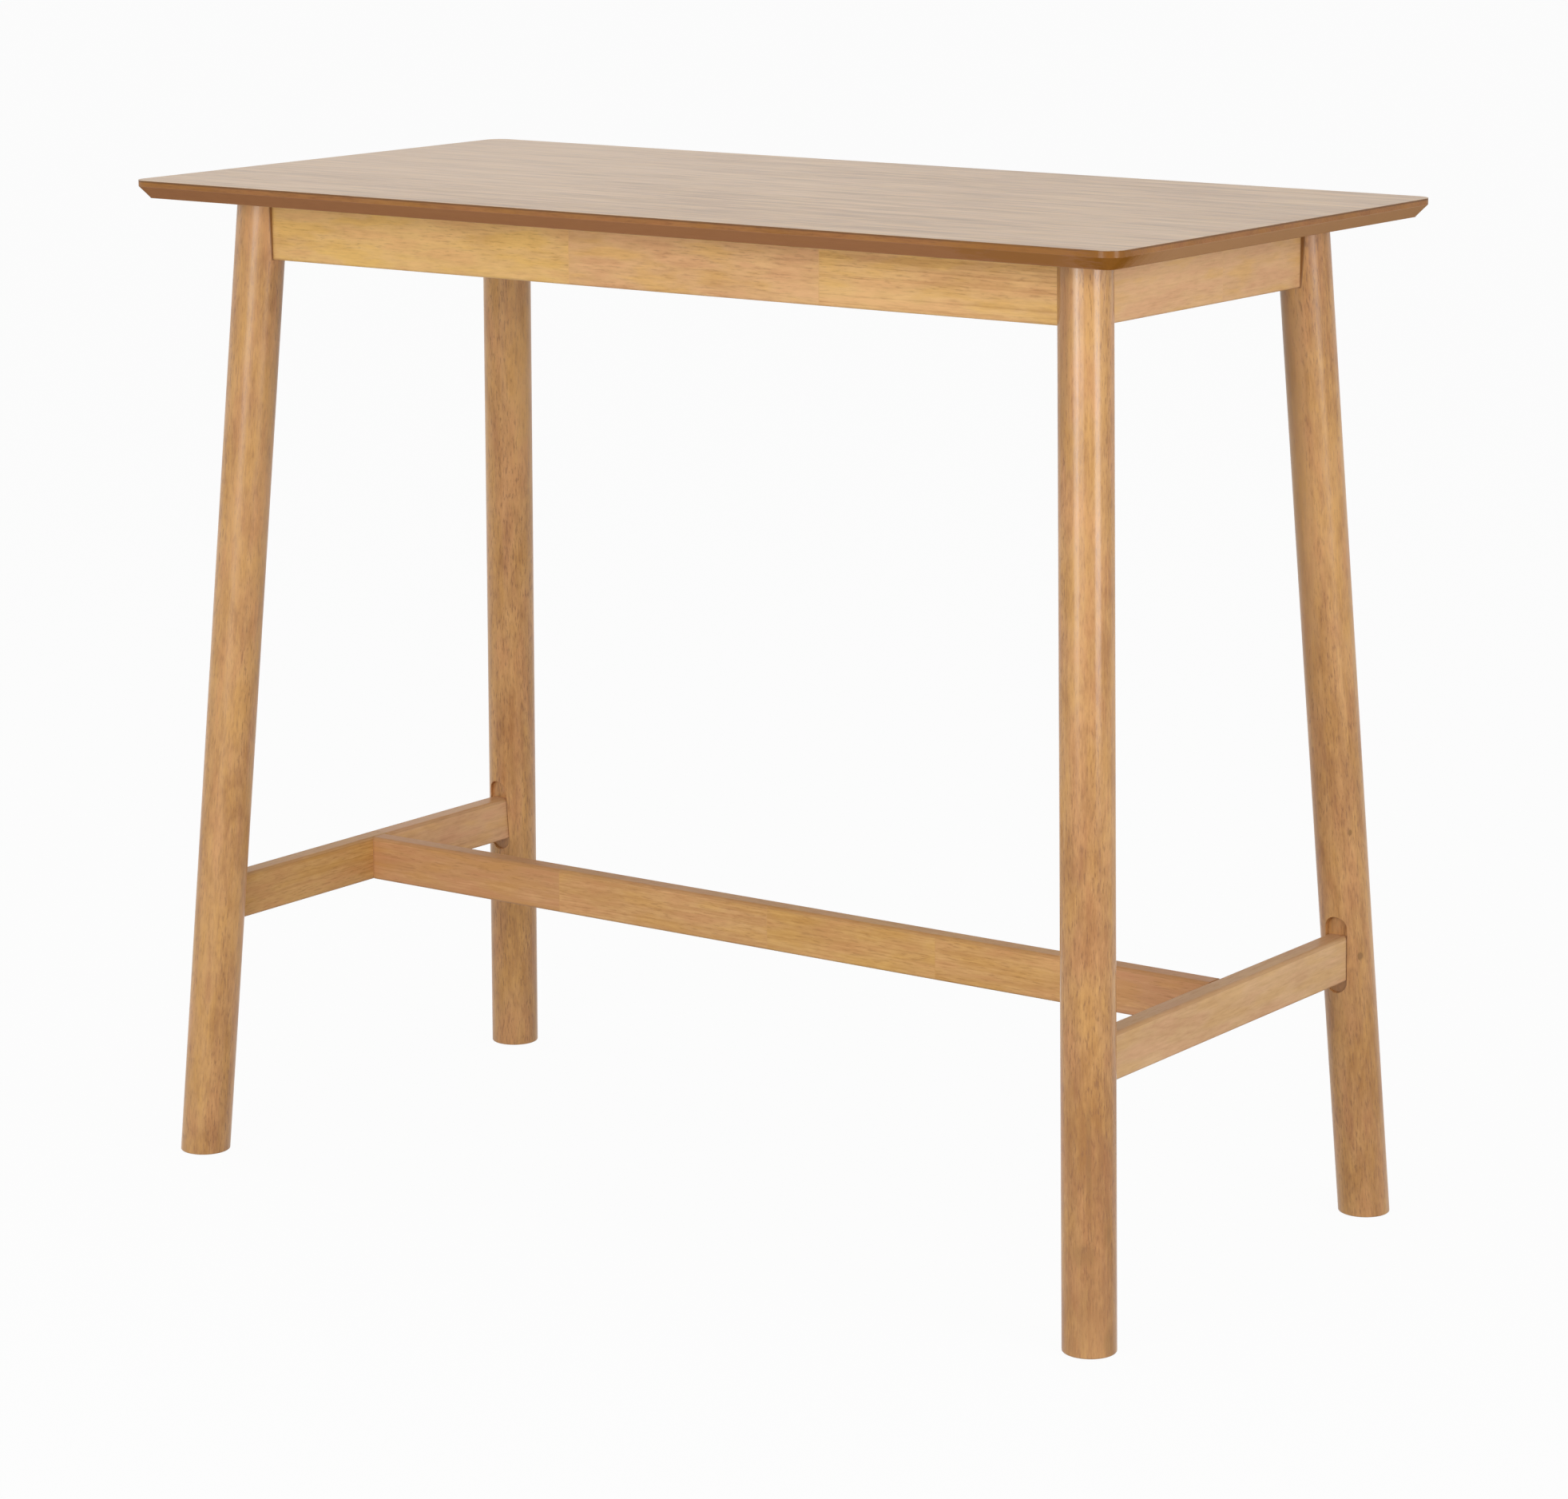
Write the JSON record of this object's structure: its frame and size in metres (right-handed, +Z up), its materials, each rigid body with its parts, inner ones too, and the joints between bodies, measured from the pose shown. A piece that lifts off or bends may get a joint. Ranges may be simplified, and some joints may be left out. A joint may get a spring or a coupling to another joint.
{
  "type": "bar table",
  "caption": "Tall rectangular bar table: thin top with undercut rim, round splayed legs, apron frame and a low H-shaped stretcher footrest.",
  "frame": {"origin": "on the floor, below the middle of the top; the glides' soles are at z = 0", "axes": "+X along the table's length to the right, +Y from the front to the back, +Z up"},
  "size_m": [1.2, 0.6, 1.05],
  "materials": {
    "top_core": "satin lacquered board, warm brown rim",
    "top_veneer": "matt lacquered pale veneer",
    "backing_veneer": "sealed backing veneer",
    "apron_wood": "satin lacquered solid wood in glued staves",
    "leg_wood": "satin lacquered solid wood",
    "stretcher_wood": "satin lacquered solid wood",
    "block_wood": "raw sawn wood",
    "dowel_wood": "raw beech, fluted",
    "zinc_steel": "bright zinc plate",
    "brass_insert": "machined brass",
    "glide_nylon": "moulded nylon"
  },
  "bodies": {
    "root": {"tabletop_core": "top_core", "tabletop_face_veneer": "top_veneer", "tabletop_backing_veneer": "backing_veneer", "front_apron": "apron_wood", "back_apron": "apron_wood", "left_apron": "apron_wood", "right_apron": "apron_wood", "left_end_stretcher": "stretcher_wood", "right_end_stretcher": "stretcher_wood", "centre_stretcher": "stretcher_wood", "apron_dowels": "dowel_wood", "stretcher_dowels": "dowel_wood", "corner_block_screws": "zinc_steel", "tabletop_screws": "zinc_steel", "leg_hanger_bolts": "zinc_steel", "leg_bolt_washers": "zinc_steel", "leg_bolt_nuts": "zinc_steel", "stretcher_inserts": "brass_insert", "stretcher_studs": "zinc_steel", "half_moon_washers": "zinc_steel", "stretcher_nuts": "zinc_steel", "top_brackets": "zinc_steel", "bracket_apron_screws": "zinc_steel", "bracket_top_screws": "zinc_steel", "front_left_leg": "leg_wood", "front_left_corner_block": "block_wood", "front_left_foot_glide": "glide_nylon", "front_right_leg": "leg_wood", "front_right_corner_block": "block_wood", "front_right_foot_glide": "glide_nylon", "back_left_leg": "leg_wood", "back_left_corner_block": "block_wood", "back_left_foot_glide": "glide_nylon", "back_right_leg": "leg_wood", "back_right_corner_block": "block_wood", "back_right_foot_glide": "glide_nylon"}
  },
  "joints": []
}
